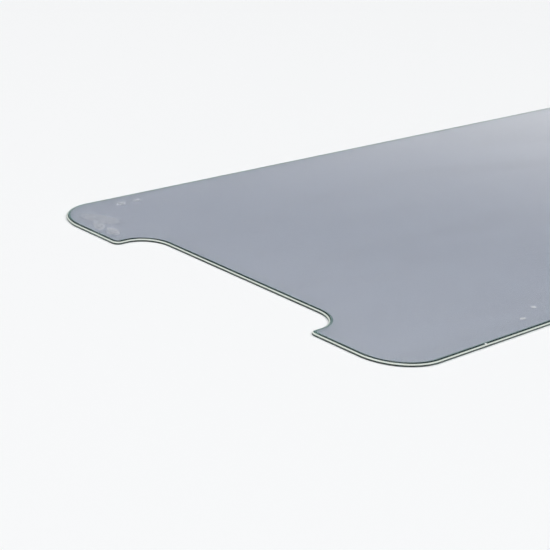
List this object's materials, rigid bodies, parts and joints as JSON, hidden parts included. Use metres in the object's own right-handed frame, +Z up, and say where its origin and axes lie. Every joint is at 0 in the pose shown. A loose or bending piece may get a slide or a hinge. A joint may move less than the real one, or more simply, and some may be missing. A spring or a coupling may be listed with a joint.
{
  "type": "phone screen protector",
  "caption": "Clear flat tempered glass sheet with rounded corners, a rounded ground edge and a sensor notch in one end, laid over a phone's display to protect it.",
  "frame": {"origin": "centre of the underside, on the surface that the sheet lies on", "axes": "+Y along the sheet towards the end with the notch, +X across the sheet, +Z up out of the top face"},
  "size_m": [0.0624, 0.1352, 0.0004],
  "materials": {
    "clear_tempered_glass": "polished faces, ground edge"
  },
  "bodies": {
    "root": {"screen_protector": "clear_tempered_glass"}
  },
  "joints": []
}
